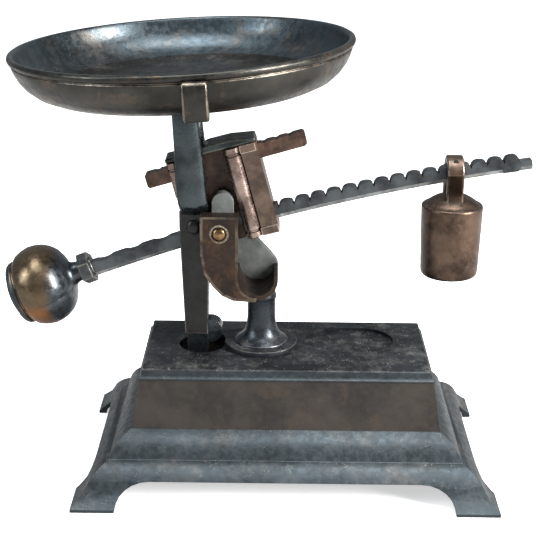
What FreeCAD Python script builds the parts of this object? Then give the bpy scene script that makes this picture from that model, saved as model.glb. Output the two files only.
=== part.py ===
"""Small cast counter scale with a notched beam, a sliding poise and a round pan.

Frame: +X to the poise end of the beam, +Y to the back, +Z up. The origin is the centre
of the base's footprint, on the ground. Lengths are millimetres, angles are degrees.
"""
import FreeCAD, Part
import Sketcher
import math
import os
import re

SIZES = {
    # base casting
    "base_length": (68.0, "feet, end to end"),
    "base_depth": (43.1, "feet, front to back"),
    "base_wall": (1.3, "wall of the hollow casting"),
    "top_wall": (1.6, "thickness of the base's top"),
    "deck_height": (20.16, "top face above the ground"),
    "cove_height": (18.4, "lower edge of the cove under the top face"),
    "panel_foot": (10.28, "lower edge of the steep panel"),
    "slope_foot": (6.6, "lower edge of the sloped tier"),
    "skirt_height": (4.08, "lower edge of the skirt, where the feet start"),
    "toe_height": (0.5, "upright edge round the bottom of a foot"),
    "deck_inset": (10.77, "top face, in from the feet"),
    "cove_inset": (10.36, "ridge under the cove, in from the feet"),
    "panel_inset": (8.92, "foot of the steep panel, in from the feet"),
    "slope_inset": (5.55, "foot of the sloped tier, in from the feet"),
    "skirt_inset": (2.8, "skirt, in from the feet"),
    "flare_inset": (1.55, "middle of a foot's flare, in from the feet"),
    "flare_height": (1.9, "middle of a foot's flare, above the ground"),
    "foot_width": (7.0, "a foot's width at the ground"),
    "arch_lean": (5.0, "how far an arch's end leans in over its height"),
    "deck_round": (0.6, "rounding of the top face's edge"),
    "dish_length": (15.0, "shallow oval dish in the top face"),
    "dish_width": (10.6, "width of that dish"),
    "dish_depth": (0.5, "depth of that dish"),
    "dish_x": (10.6, "centre of the dish"),
    "dish_y": (2.3, "centre of the dish"),
    "stem_hole": (3.86, "radius of the hole that the stem passes through"),
    "stem_hole_x": (-14.04, "centre of that hole"),
    # column and yoke
    "column_x": (-4.2, "axis of the column"),
    "column_radius": (2.33, "column"),
    "flange_radius": (6.0, "round plate under the column"),
    "flange_thick": (0.9, "thickness of that plate"),
    "tail_radius": (0.9, "rounded end of the plate's tail"),
    "tail_x": (-10.6, "centre of the tail's end"),
    "tail_y": (2.6, "centre of the tail's end"),
    "column_foot": (4.4, "radius of the column's spread foot"),
    "column_foot_rise": (2.6, "height of the spread foot"),
    "rivet_radius": (1.6, "tail of the column, through the base"),
    "rivet_washer": (3.2, "washer under the base"),
    "washer_thick": (0.6, "thickness of the washers"),
    "fulcrum_x": (-10.95, "axis that the beam turns on"),
    "fulcrum_z": (41.3, "height of that axis"),
    "ear_front": (6.2, "front face of the yoke, ahead of the centre plane"),
    "ear_thick": (2.6, "thickness of the front ear"),
    "ear_half": (3.0, "half the ear's width"),
    "ear_top": (44.2, "top of the ears"),
    "ear_waist": (3.3, "where the ears start to narrow, below the fulcrum"),
    "neck_outer": (2.4, "neck's upper bend, left of the fulcrum"),
    "neck_bend": (1.05, "neck's middle bend, left of the fulcrum"),
    "neck_inner": (0.45, "neck's lower bend, right of the fulcrum"),
    "neck_end": (2.25, "where the neck meets the scoop, right of the fulcrum"),
    "rear_gap": (3.1, "front face of the rear ear, behind the centre plane"),
    "rear_thick": (1.9, "thickness of the rear ear"),
    "rear_neck": (0.9, "rear neck's left edge, right of the fulcrum"),
    "rear_bend": (1.6, "rear neck's right bend, above the scoop's axis"),
    "rear_waist": (4.1, "rear neck's narrowest place, above the scoop's axis"),
    "rear_shoulder": (5.0, "where the rear ear's right edge starts, above the scoop's axis"),
    "scoop_x": (-5.0, "axis of the scoop that joins the ears"),
    "scoop_z": (33.5, "axis of the scoop"),
    "scoop_inner": (2.9, "inside radius of the scoop"),
    "scoop_wall": (0.6, "wall of the scoop"),
    "guide_half": (1.75, "half the width of the guide tongue"),
    "guide_top": (47.4, "top of the guide tongue"),
    "guide_back": (1.5, "back face of the tongue, ahead of the centre plane"),
    "guide_shift": (0.5, "middle of the tongue, right of the fulcrum"),
    "fulcrum_radius": (1.15, "pin that the beam turns on"),
    "fulcrum_flat": (0.7, "radius of the flat on that pin's rounded end"),
    "pin_dome": (0.35, "rise of the pin's rounded end"),
    "running": (0.05, "radial clearance of a turning pin"),
    # beam
    "beam_tilt": (15.0, "rise of the beam at rest, poise end up"),
    "bar_thick": (2.2, "thickness of both bars"),
    "bar_height": (2.5, "height of the long bar"),
    "bar_chamfer": (0.7, "bevel along the long bar's lower edges"),
    "bow_radius": (350.0, "bow of the long bar"),
    "bow_at": (12.0, "crown of the bow, from the fulcrum"),
    "bar_left": (34.4, "long bar, from the crown to the ball end"),
    "bar_right": (39.3, "long bar, from the crown to the tip"),
    "left_drop": (0.55, "long bar's ball side, below the run of its notched side"),
    "notch_pitch": (2.614, "spacing of the notches"),
    "notch_first": (-2.13, "first notch, from the crown"),
    "tip_land": (1.5, "plain end of the bar, past the last notch"),
    "wave_pitch": (5.0, "spacing of the shallow dips on the ball's side"),
    "wave_depth": (0.25, "depth of those dips"),
    "notch_width": (0.5, "width of a notch"),
    "notch_depth": (0.8, "depth of a notch"),
    "fulcrum_eye": (2.3, "radius of the bar's eye round the fulcrum"),
    "load_eye": (1.75, "radius of the bar's eye round the load pin"),
    "tare_left": (-9.6, "left end of the short bar"),
    "tare_right": (16.9, "right end of the short bar"),
    "tare_level": (10.3, "middle of the short bar above the fulcrum"),
    "tare_height": (2.4, "height of the short bar"),
    "tare_drop": (0.35, "left end of the short bar, lower than level with the long bar"),
    "tare_rise": (0.25, "right end of the short bar, higher than level with the long bar"),
    "frame_left": (-5.6, "left end of the frame"),
    "frame_right": (8.4, "right end of the frame"),
    "frame_low": (-3.0, "bottom of the frame"),
    "frame_high": (12.3, "top of the frame's posts"),
    "frame_half": (2.6, "half the frame's depth"),
    "head_drop": (0.6, "frame's head, below the short bar's underside"),
    "rod_at": (5.35, "axis of the round rods, from the fulcrum"),
    "rod_radius": (1.1, "round rods on the posts"),
    "rod_seat": (1.7, "axis of the rods, from the centre plane"),
    "rod_groove": (0.18, "depth of the ring grooves near the rods' ends"),
    "ring_inset": (1.4, "ring grooves, from the rods' ends"),
    "post_left": (-3.2, "inner edge of the left post"),
    "post_right": (4.0, "inner edge of the right post"),
    "post_low": (6.3, "bottom of the left post, above the stem's shoulder"),
    "end_thick": (0.8, "thin plate over the frame's right end"),
    "cap_thick": (0.7, "plate over the frame's top"),
    "cap_bump": (0.6, "swelling in the middle of that plate"),
    "bump_left": (1.6, "left end of the swelling's flat top, from the fulcrum"),
    "bump_foot": (-1.1, "left end of the swelling's slope, from the fulcrum"),
    "ball_radius": (6.7, "counterweight ball across the beam"),
    "ball_half": (5.9, "half the ball's length before it is faced off"),
    "ball_face": (4.5, "flat left face, from the ball's centre"),
    "ball_drop": (0.25, "ball's centre, below the run of the notched side"),
    "ball_at": (43.35, "ball's centre, from the crown of the bow"),
    "button_radius": (3.9, "button in the ball's left face"),
    "button_rise": (0.6, "how far the button stands out"),
    "stud_radius": (1.6, "stud between the bar and the ball"),
    "collar_radius": (2.7, "six-sided collar, across its corners"),
    "collar_length": (1.9, "length of the collar"),
    # stem and pan
    "load_arm": (4.15, "load pin, left of the fulcrum"),
    "load_rise": (0.1, "load pin, above the fulcrum"),
    "load_radius": (0.85, "load pin"),
    "load_head": (1.25, "rounded heads of the load pin"),
    "load_flat": (0.75, "radius of the flat on those heads"),
    "load_head_rise": (0.6, "how far a head stands out"),
    "fork_gap": (1.4, "inner face of a fork plate, from the centre plane"),
    "fork_thick": (1.2, "thickness of a fork plate"),
    "plate_left": (2.4, "widest left edge of a fork plate, from the load pin"),
    "plate_right": (2.3, "right edge of a fork plate, from the load pin"),
    "plate_foot": (22.9, "bottom of the fork plates"),
    "knee_z": (44.5, "shoulder where the fork plates step out"),
    "knee_rise": (1.2, "height of that shoulder"),
    "shoulder_half": (2.4, "half the width of that shoulder"),
    "stem_shift": (0.3, "upper stem, left of the load pin"),
    "stem_lean": (3.2, "lean of the stem above its shoulder"),
    "leg_half": (2.0, "half the width of an upper leg"),
    "leg_gap": (2.9, "inner face of an upper leg, from the centre plane"),
    "leg_thick": (1.5, "thickness of an upper leg"),
    "crotch": (13.0, "underside of the stem's head, above the shoulder"),
    "stem_top": (19.0, "top of the stem's head, above the shoulder"),
    "web_top": (35.5, "top of the block between the fork plates"),
    "peg_half": (1.67, "half the peg's width"),
    "peg_depth": (3.3, "depth of the peg"),
    "peg_end": (12.0, "lower end of the peg"),
    "peg_shift": (0.37, "peg, right of the load pin"),
    "foot_left": (2.0, "fork's foot, left of the peg's middle"),
    "foot_right": (1.75, "fork's foot, right of the peg's middle"),
    "lug_radius": (1.9, "rounded stop lug on the stem"),
    "lug_at": (2.17, "stop lug, right of the peg's middle"),
    "lug_gap": (0.06, "lug above the column's plate at rest"),
    "stem_lift": (1.3, "rise of the stem over the beam's travel"),
    "keeper_radius": (0.6, "pin across the peg, inside the base"),
    "keeper_gap": (0.15, "keeper pin under the base's top when the stem is up"),
    "keeper_length": (9.0, "length of that pin"),
    "pan_radius": (26.9, "pan, over its wall"),
    "pan_flare": (1.2, "how much wider the pan is at its rim than at its foot"),
    "pan_height": (6.9, "pan, from its underside to its rim"),
    "pan_wall": (0.9, "wall of the pan"),
    "pan_round": (5.5, "rounding between floor and wall, outside"),
    "rim_radius": (0.55, "round bead on the rim"),
    "spout_half": (1.75, "half the width of the lug on the pan's front"),
    "spout_reach": (0.9, "how far that lug stands out"),
    "spout_shift": (3.5, "middle of that lug, right of the pan's middle"),
    "spout_foot": (0.7, "bottom of that lug, above the pan's underside"),
    "pan_rivet": (1.3, "rivet that holds the pan, peened flush with its floor"),
    "rivet_length": (5.9, "length of that rivet"),
    # poise
    "poise_at": (39.0, "poise at rest, from the fulcrum"),
    "rider_radius": (0.45, "pin that rides on the bar, across the loop"),
    "rider_gap": (0.2, "rider above the crest of the bar"),
    "rider_half": (2.0, "half the rider's length"),
    "loop_width": (2.7, "width of the loop's band"),
    "loop_half": (2.9, "half the loop's outside depth"),
    "loop_band": (1.2, "thickness of the loop's sides"),
    "loop_crown": (0.85, "top of the loop above the rider's axis"),
    "loop_opening": (5.2, "height of the loop's opening"),
    "rider_nose": (0.3, "how far the rider stands below the top of the loop's opening"),
    "loop_tail": (1.5, "loop below its opening"),
    "poise_top_radius": (5.0, "poise at its shoulder"),
    "poise_foot_radius": (4.65, "poise at its bottom"),
    "poise_height": (11.6, "poise from its bottom to its shoulder"),
    "poise_drop": (7.6, "shoulder of the poise below the rider"),
    "shoulder_rise": (1.1, "slope from the shoulder to the boss"),
    "boss_radius": (2.5, "boss under the loop"),
    "boss_rise": (1.0, "height of that boss"),
    "poise_round": (0.8, "rounding of the poise's bottom edge"),
    # cutting
    "spare": (1.0, "how far a cutting tool reaches past a face"),
}

doc = FreeCAD.newDocument("counter_scale")
sheet = doc.addObject("Spreadsheet::Sheet", "Dims")
for row, (alias, (number, note)) in enumerate(SIZES.items(), start=1):
    sheet.set(f"A{row}", note)
    sheet.set(f"B{row}", str(number))
    sheet.setAlias(f"B{row}", alias)
gauge = doc.addObject("Part::Vertex", "Gauge")
doc.recompute()

UP = FreeCAD.Vector(0, 0, 1)
BACK = FreeCAD.Vector(0, 1, 0)
RIGHT = FreeCAD.Vector(1, 0, 0)
nodes = []


# ---- small tools -------------------------------------------------------------------

def formula(text):
    """The text with every alias written as a cell of the sheet."""
    return re.sub(r"[a-z]\w+", r"Dims.\g<0>", str(text))


def size(text):
    """The number that a formula has now."""
    gauge.setExpression("X", formula(text))
    gauge.recompute()
    return gauge.X.Value


def drive(obj, **sizes):
    """Binds properties of an object to formulas of the sheet."""
    for name, text in sizes.items():
        obj.setExpression(name.replace("__", "."), formula(text))
    return obj


def place(obj, x="0", y="0", z="0"):
    """Moves an object to a point given by formulas."""
    return drive(obj, Placement__Base__x=x, Placement__Base__y=y, Placement__Base__z=z)


def box(name, x, y, z):
    """A block between pairs of faces."""
    obj = doc.addObject("Part::Box", name)
    drive(obj, Length=f"({x[1]}) - ({x[0]})", Width=f"({y[1]}) - ({y[0]})",
          Height=f"({z[1]}) - ({z[0]})")
    return place(obj, x[0], y[0], z[0])


def rod(name, radius, length, at, axis=UP):
    """A cylinder that starts at a point and runs along an axis."""
    obj = doc.addObject("Part::Cylinder", name)
    obj.Placement.Rotation = FreeCAD.Rotation(UP, axis)
    drive(obj, Radius=radius, Height=length)
    return place(obj, *at)


def cone(name, low, high, height, at):
    """An upright cone."""
    obj = doc.addObject("Part::Cone", name)
    drive(obj, Radius1=low, Radius2=high, Height=height)
    return place(obj, *at)


def fuse(name, *parts):
    """One solid from several that overlap."""
    obj = doc.addObject("Part::MultiFuse", name)
    obj.Shapes = list(parts)
    obj.Refine = True
    return obj


def cut(name, base, *tools):
    """A solid less the tools."""
    obj = doc.addObject("Part::Cut", name)
    obj.Base = base
    obj.Tool = tools[0] if len(tools) == 1 else fuse(name + "_tool", *tools)
    obj.Refine = True
    return obj


def common(name, *parts):
    """What several solids share."""
    obj = doc.addObject("Part::MultiCommon", name)
    obj.Shapes = list(parts)
    return obj


def outline(body, plane, points):
    """A closed outline of straight runs, each corner bound to the sheet."""
    sketch = body.newObject("Sketcher::SketchObject", body.Name + "_outline")
    face = [item for item in body.Origin.OriginFeatures if item.Role == plane][0]
    sketch.AttachmentSupport = [(face, "")]
    sketch.MapMode = "FlatFace"
    corners = [FreeCAD.Vector(size(x), size(y), 0) for x, y in points]
    count = len(corners)
    for index, corner in enumerate(corners):
        sketch.addGeometry(Part.LineSegment(corner, corners[(index + 1) % count]), False)
    for index, corner in enumerate(corners):
        sketch.addConstraint(Sketcher.Constraint("Coincident", index, 2, (index + 1) % count, 1))
    for index, (corner, point) in enumerate(zip(corners, points)):
        for kind, number, text in (("DistanceX", corner.x, point[0]), ("DistanceY", corner.y, point[1])):
            at = sketch.addConstraint(Sketcher.Constraint(kind, -1, 1, index, 1, number))
            sketch.setExpression(f"Constraints[{at}]", formula(text))
    return sketch


def plate(name, points, front, back):
    """A flat piece: an outline in X and Z, from its front face to its back face."""
    body = doc.addObject("PartDesign::Body", name)
    pad = body.newObject("PartDesign::Pad", name + "_pad")
    pad.Profile = outline(body, "XZ_Plane", points)
    drive(pad, Length=f"({back}) - ({front})")
    body.Tip = pad
    return place(body, y=back)


def turned(name, points):
    """A turned piece: an outline in radius and height, round the Z axis."""
    body = doc.addObject("PartDesign::Body", name)
    sketch = outline(body, "XZ_Plane", points)
    turn = body.newObject("PartDesign::Revolution", name + "_turn")
    turn.Profile = sketch
    turn.ReferenceAxis = (sketch, ["V_Axis"])
    turn.Angle = 360
    body.Tip = turn
    return body


def round_edges(body, radius, height, ring):
    """Rounds the circular edge of a turned body at a height and radius."""
    doc.recompute()
    base = body.Tip
    names = []
    for index, edge in enumerate(base.Shape.Edges, start=1):
        at_height = abs(edge.BoundBox.Center.z - size(height)) < 1e-4 and edge.BoundBox.ZLength < 1e-4
        if at_height and abs(edge.BoundBox.XLength / 2 - size(ring)) < 1e-4:
            names.append(f"Edge{index}")
    fillet = body.newObject("PartDesign::Fillet", f"{body.Name}_round{len(body.Group)}")
    fillet.Base = (base, names)
    drive(fillet, Radius=radius)
    body.Tip = fillet
    return body


def carry(obj, by):
    """Moves an object, from where it is drawn, along with a turned group."""
    doc.recompute()
    for side in "xyz":
        obj.setExpression(f"Placement.Base.{side}", None)
    obj.Placement = by.multiply(obj.Placement)
    return obj


def node(label, obj, group=None):
    """Names a finished sub-part, and places it with its group if it has one."""
    obj.Label = label
    if group is not None:
        carry(obj, group)
    nodes.append(obj)
    return obj


# ---- base --------------------------------------------------------------------------

def tier(name, low, high, low_inset, high_inset, wall="0"):
    """One tier of the base: a block whose four sides slope evenly."""
    obj = doc.addObject("Part::Wedge", name)
    obj.Placement.Rotation = FreeCAD.Rotation(RIGHT, 90)
    for side, inset in (("", low_inset), ("2", high_inset)):
        half_x = f"(base_length / 2 - {inset} - {wall})"
        half_y = f"(base_depth / 2 - {inset} - {wall})"
        drive(obj, **{f"X{side}min": "-" + half_x, f"X{side}max": half_x,
                      f"Z{side}min": "-" + half_y, f"Z{side}max": half_y})
    drive(obj, Ymin=low, Ymax=high)
    return obj


TIERS = [
    ("toe_height", "flare_height", "0", "flare_inset"),
    ("flare_height", "skirt_height", "flare_inset", "skirt_inset"),
    ("skirt_height", "slope_foot", "skirt_inset", "slope_inset"),
    ("slope_foot", "panel_foot", "slope_inset", "panel_inset"),
    ("panel_foot", "cove_height", "panel_inset", "cove_inset"),
    ("cove_height", "deck_height", "cove_inset", "deck_inset"),
]

base_tiers = [tier("toe", "0", "toe_height", "0", "0")]
hollow_tiers = [tier("toe_hollow", "-spare", "toe_height", "0", "0", "base_wall")]
for index, (low, high, low_inset, high_inset) in enumerate(TIERS):
    base_tiers.append(tier(f"tier{index}", low, high, low_inset, high_inset))
    if high == "deck_height":
        high = "deck_height - top_wall"
    hollow_tiers.append(tier(f"hollow{index}", low, high, low_inset, high_inset, "base_wall"))


def arch(name, length, lean, depth):
    """The gap between two feet, wider at the ground than at the skirt."""
    half = f"({length} / 2 - foot_width)"
    corners = [("-" + half, "-spare"), (half, "-spare"), (f"{half} - {lean}", "skirt_height"),
               (f"{lean} - {half}", "skirt_height")]
    return plate(name, corners, f"-({depth})", depth)


front_arch = arch("front_arch", "base_length", "arch_lean", "base_depth")
side_arch = carry(arch("side_arch", "base_depth", "arch_lean", "base_length"),
                  FreeCAD.Placement(FreeCAD.Vector(), FreeCAD.Rotation(UP, 90)))

dish_reach = "(dish_length - dish_width) / 2"
dish_mid = box("dish_mid", (f"dish_x - {dish_reach}", f"dish_x + {dish_reach}"),
               ("dish_y - dish_width / 2", "dish_y + dish_width / 2"),
               ("deck_height - dish_depth", "deck_height + spare"))
dish_ends = []
for side in ("-", "+"):
    dish_ends.append(rod("dish_end", "dish_width / 2", "dish_depth + spare",
                         (f"dish_x {side} {dish_reach}", "dish_y", "deck_height - dish_depth")))

stem_hole = rod("stem_hole_tool", "stem_hole", "base_length", ("stem_hole_x", "0", "0"))
rivet_hole = rod("rivet_hole", "rivet_radius", "base_length", ("column_x", "0", "0"))
base_block = fuse("base_block", *base_tiers)
base_hollow = fuse("base_hollow", *hollow_tiers)
node("base_casting", cut("base", base_block, base_hollow, front_arch, side_arch, dish_mid,
                         *dish_ends, stem_hole, rivet_hole))

# ---- column ------------------------------------------------------------------------

doc.recompute()
tail_run = math.hypot(size("tail_x - column_x"), size("tail_y"))
tail_turn = math.atan2(size("tail_y"), size("tail_x - column_x"))
spread = math.acos(size("flange_radius - tail_radius") / tail_run)
plate_corners = []
for radius, centre in ((size("flange_radius"), (size("column_x"), 0.0)),
                       (size("tail_radius"), (size("tail_x"), size("tail_y")))):
    for side in (1, -1):
        angle = tail_turn + side * spread
        plate_corners.append(FreeCAD.Vector(centre[0] + radius * math.cos(angle),
                                            centre[1] + radius * math.sin(angle), size("deck_height")))
plate_corners = [plate_corners[0], plate_corners[2], plate_corners[3], plate_corners[1]]
tail = doc.addObject("Part::Feature", "tail")
tail_face = Part.Face(Part.makePolygon(plate_corners + plate_corners[:1]))
tail.Shape = tail_face.extrude(UP * size("flange_thick"))
flange_disc = rod("flange_disc", "flange_radius", "flange_thick", ("column_x", "0", "deck_height"))
tail_disc = rod("tail_disc", "tail_radius", "flange_thick", ("tail_x", "tail_y", "deck_height"))
flange_blank = fuse("flange_blank", flange_disc, tail_disc, tail)
flange_bore = rod("flange_bore", "rivet_radius", "base_length", ("column_x", "0", "0"))
node("column_plate", cut("flange", flange_blank, stem_hole, flange_bore))

plate_top = "deck_height + flange_thick"
column_shaft = rod("column_shaft", "column_radius", f"scoop_z - ({plate_top})", ("column_x", "0", plate_top))
column_spread = cone("column_spread", "column_foot", "column_radius", "column_foot_rise",
                     ("column_x", "0", plate_top))
column_tail = rod("column_tail", "rivet_radius", "flange_thick + top_wall + 2 * washer_thick",
                  ("column_x", "0", "deck_height - top_wall - 2 * washer_thick"))
scoop_solid = rod("scoop_solid", "scoop_inner + scoop_wall", "base_length",
                  ("scoop_x", "-base_length / 2", "scoop_z"), BACK)
column_blank = fuse("column_blank", column_shaft, column_spread, column_tail)
node("column", cut("column_cut", column_blank, scoop_solid))

washer_disc = rod("washer_disc", "rivet_washer", "washer_thick",
                  ("column_x", "0", "deck_height - top_wall - washer_thick"))
washer_bore = rod("washer_bore", "rivet_radius", "base_length", ("column_x", "0", "0"))
node("column_washer", cut("washer", washer_disc, washer_bore))

# ---- yoke --------------------------------------------------------------------------

ear_back = "ear_thick - ear_front"
ear_left = "fulcrum_x - ear_half"
ear_right = "fulcrum_x + ear_half"
scoop_low = "scoop_z - scoop_inner - scoop_wall"
fulcrum_bore = rod("fulcrum_bore", "fulcrum_radius", "base_length",
                   ("fulcrum_x", "-base_length / 2", "fulcrum_z"), BACK)
scoop_void = rod("scoop_void", "scoop_inner", "base_length",
                 ("scoop_x", "-base_length / 2", "scoop_z"), BACK)

front_outline = [
    (ear_left, "ear_top"), (ear_left, "fulcrum_z - ear_waist"),
    ("fulcrum_x - neck_outer", "scoop_z + 2 * scoop_wall"),
    ("fulcrum_x - neck_bend", "scoop_z - scoop_inner / 3"),
    ("fulcrum_x + neck_inner", f"{scoop_low} + scoop_inner / 3"),
    ("fulcrum_x + neck_end", f"{scoop_low} + scoop_wall / 4"),
    ("scoop_x - scoop_inner / 2", scoop_low), ("scoop_x", scoop_low), ("scoop_x", "scoop_z"),
    (ear_right, "scoop_z"), (ear_right, "ear_top")]
front_ear = plate("front_ear", front_outline, "-ear_front", ear_back)
scoop_floor = rod("scoop_floor", "scoop_inner + scoop_wall", "rear_gap + ear_front - ear_thick / 3",
                  ("scoop_x", "ear_thick / 3 - ear_front", "scoop_z"), BACK)
scoop_half = box("scoop_half", ("scoop_x - base_length", "scoop_x + base_length"),
                 ("-base_depth", "base_depth"), ("scoop_z", "scoop_z + base_length"))
scoop_shell = cut("scoop_shell", scoop_floor, scoop_half)
yoke_blank = fuse("yoke_blank", front_ear, scoop_shell)
node("yoke_front", cut("yoke_front_cut", yoke_blank, scoop_void, fulcrum_bore))

rear_outline = [
    ("fulcrum_x - neck_bend", "ear_top"), ("fulcrum_x - neck_bend", "fulcrum_z - ear_waist"),
    ("fulcrum_x + rear_neck", "scoop_z"), ("scoop_x - scoop_inner", scoop_low),
    ("scoop_x + scoop_inner / 2", scoop_low),
    ("scoop_x + scoop_inner + scoop_wall", "scoop_z - 2 * scoop_wall"),
    ("scoop_x + scoop_inner + scoop_wall", "scoop_z"),
    ("scoop_x + scoop_inner - scoop_wall", "scoop_z + rear_bend"),
    ("scoop_x", "scoop_z + rear_waist"), (ear_right, "scoop_z + rear_shoulder"), (ear_right, "ear_top")]
rear_ear = plate("rear_ear", rear_outline, "rear_gap", "rear_gap + rear_thick")
node("yoke_rear", cut("yoke_rear_cut", rear_ear, fulcrum_bore))

tongue_body = box("tongue_body",
                  ("fulcrum_x + guide_shift - guide_half", "fulcrum_x + guide_shift + guide_half"),
                  (ear_back, "-guide_back"), ("fulcrum_z - ear_half", "guide_top - guide_half"))
tongue_top = rod("tongue_top", "guide_half", f"-guide_back - ({ear_back})",
                 ("fulcrum_x + guide_shift", ear_back, "guide_top - guide_half"), BACK)
tongue_blank = fuse("tongue_blank", tongue_body, tongue_top)
node("guide_tongue", cut("tongue", tongue_blank, fulcrum_bore))

pin_core = rod("pin_core", "fulcrum_radius", "ear_front + rear_gap + rear_thick",
               ("fulcrum_x", "-ear_front", "fulcrum_z"), BACK)
pin_end = cone("pin_end", "fulcrum_radius", "fulcrum_flat", "pin_dome",
               ("fulcrum_x", "-ear_front", "fulcrum_z"))
pin_end.Placement.Rotation = FreeCAD.Rotation(UP, -BACK)
node("fulcrum_pin", fuse("fulcrum", pin_core, pin_end))

# ---- beam --------------------------------------------------------------------------
# The beam's pieces are drawn level, with the fulcrum at the origin, and turned together.

beam_place = FreeCAD.Placement(FreeCAD.Vector(size("fulcrum_x"), 0, size("fulcrum_z")),
                               FreeCAD.Rotation(BACK, -size("beam_tilt")))
half_bar = "bar_thick / 2"
load_angle = math.radians(size("beam_tilt"))
load_x = -size("load_arm") * math.cos(load_angle) + size("load_rise") * math.sin(load_angle)
load_z = size("load_arm") * math.sin(load_angle) + size("load_rise") * math.cos(load_angle)


def bow_place(along, drop="0"):
    """A place on the long bar's bow, a distance from its crown."""
    angle = size(along) / size("bow_radius")
    radius = size("bow_radius")
    at = FreeCAD.Vector(size("bow_at") + radius * math.sin(angle), 0,
                        radius * math.cos(angle) - radius - size(drop))
    return FreeCAD.Placement(at, FreeCAD.Rotation(BACK, math.degrees(angle)))


def cross_rod(name, radius, half, x, z):
    """A rod across the beam, from a depth in front to the same depth behind."""
    return rod(name, radius, f"2 * ({half})", (f"{x:.4f}", f"-({half})", f"{z:.4f}"), BACK)


def bar_run(name, start, stop, drop):
    """A length of the bowed bar, between two distances from the crown."""
    run = doc.addObject("PartDesign::Body", name)
    high = "bow_radius + bar_height / 2"
    low = "bow_radius - bar_height / 2"
    section = outline(run, "YZ_Plane", [
        ("-" + half_bar, high), (half_bar, high), (half_bar, f"{low} + bar_chamfer"),
        (f"{half_bar} - bar_chamfer", low), (f"bar_chamfer - {half_bar}", low),
        ("-" + half_bar, f"{low} + bar_chamfer")])
    sweep = run.newObject("PartDesign::Revolution", name + "_sweep")
    sweep.Profile = section
    sweep.ReferenceAxis = (section, ["H_Axis"])
    sweep.Midplane = True
    drive(sweep, Angle=f"({stop} - ({start})) / bow_radius * {180 / math.pi}")
    run.Tip = sweep
    middle = math.degrees(size(f"({stop} + {start}) / 2 / bow_radius"))
    run.Placement = FreeCAD.Placement(FreeCAD.Vector(size("bow_at"), 0, -size(f"bow_radius + {drop}")),
                                      FreeCAD.Rotation(BACK, middle))
    return run


notched_run = bar_run("notched_run", "-bow_at", "bar_right", "0")
ball_run = bar_run("ball_run", "-bar_left", "-bow_at", "left_drop")
notches = []
notch_count = math.floor(size("(bar_right - tip_land - notch_first) / notch_pitch")) + 1
for index in range(notch_count):
    tool = box("notch", ("-notch_width / 2", "notch_width / 2"), ("-bar_thick", "bar_thick"),
               ("bar_height / 2 - notch_depth", "bar_height"))
    notches.append(carry(tool, bow_place(f"notch_first + {index} * notch_pitch")))
wave_count = math.floor(size("(bar_left - bow_at + frame_left) / wave_pitch"))
for index in range(wave_count):
    tool = rod("dip", "wave_pitch / 2", "2 * bar_thick",
               ("0", "-bar_thick", "bar_height / 2 + wave_pitch / 2 - wave_depth"), BACK)
    notches.append(carry(tool, bow_place(f"(0.5 + {index}) * wave_pitch - bar_left", "left_drop")))

fulcrum_eye = cross_rod("fulcrum_eye_disc", "fulcrum_eye", half_bar, 0, 0)
load_eye = cross_rod("load_eye_disc", "load_eye", half_bar, load_x, load_z)
bar_blank = fuse("bar_blank", notched_run, ball_run, fulcrum_eye, load_eye)
fulcrum_run = cross_rod("fulcrum_run", "fulcrum_radius + running", "bar_thick", 0, 0)
load_run = cross_rod("load_run", "load_radius + running", "bar_thick", load_x, load_z)
main_bar = cut("main_bar_cut", bar_blank, fulcrum_run, load_run, *notches)

tare_outline = [
    ("tare_left", "tare_level - tare_height / 2 - tare_drop"),
    ("tare_right", "tare_level - tare_height / 2 + tare_rise"),
    ("tare_right", "tare_level + tare_height / 2 + tare_rise"),
    ("tare_left", "tare_level + tare_height / 2 - tare_drop")]
tare_bar = plate("tare", tare_outline, "-" + half_bar, half_bar)
tare_slot = plate("tare_slot", tare_outline, "-" + half_bar, half_bar)

frame_parts = [box("frame_web", ("-fulcrum_eye", "frame_right"), ("-" + half_bar, half_bar),
                   ("frame_low", "frame_high"))]
frame_parts.append(box("right_post", ("post_right", "frame_right"), ("-rod_seat", "rod_seat"),
                       ("frame_low", "frame_high")))
frame_parts.append(box("right_strip", ("rod_at + rod_radius", "frame_right"), ("-frame_half", "frame_half"),
                       ("frame_low", "frame_high")))
frame_parts.append(box("left_post", ("frame_left", "post_left"), ("-rod_seat", "rod_seat"),
                       ("post_low", "frame_high")))
frame_parts.append(box("head_beam", ("frame_left", "frame_right"), ("-rod_seat", "rod_seat"),
                       ("tare_level - tare_height / 2 - head_drop", "frame_high")))

frame_rods = {}
for side, at, foot in (("right", "rod_at", "frame_low"), ("left", "frame_left + rod_radius", "post_low")):
    for face, seat in (("front", "-rod_seat"), ("rear", "rod_seat")):
        high = f"frame_high - ({foot})"
        core = rod(f"{face}_{side}_core", "rod_radius", high, (at, seat, foot))
        corners = [("0", "0"), ("rod_radius", "0")]
        for ring_at in ("ring_inset", f"{high} - ring_inset"):
            corners.append(("rod_radius", f"{ring_at} - rod_groove"))
            corners.append(("rod_radius - rod_groove", ring_at))
            corners.append(("rod_radius", f"{ring_at} + rod_groove"))
        corners += [("rod_radius", high), ("0", high)]
        piece = place(turned(f"{face}_{side}_turned", corners), at, seat, foot)
        frame_rods[f"{face}_{side}_rod"] = (core, cut(f"{face}_{side}_cut", piece, bar_blank, tare_slot))

frame_blank = fuse("frame_blank", *frame_parts)
beam_frame = cut("beam_frame_cut", frame_blank, bar_blank, fulcrum_run, load_run, tare_slot,
                 *[core for core, _ in frame_rods.values()])

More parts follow.
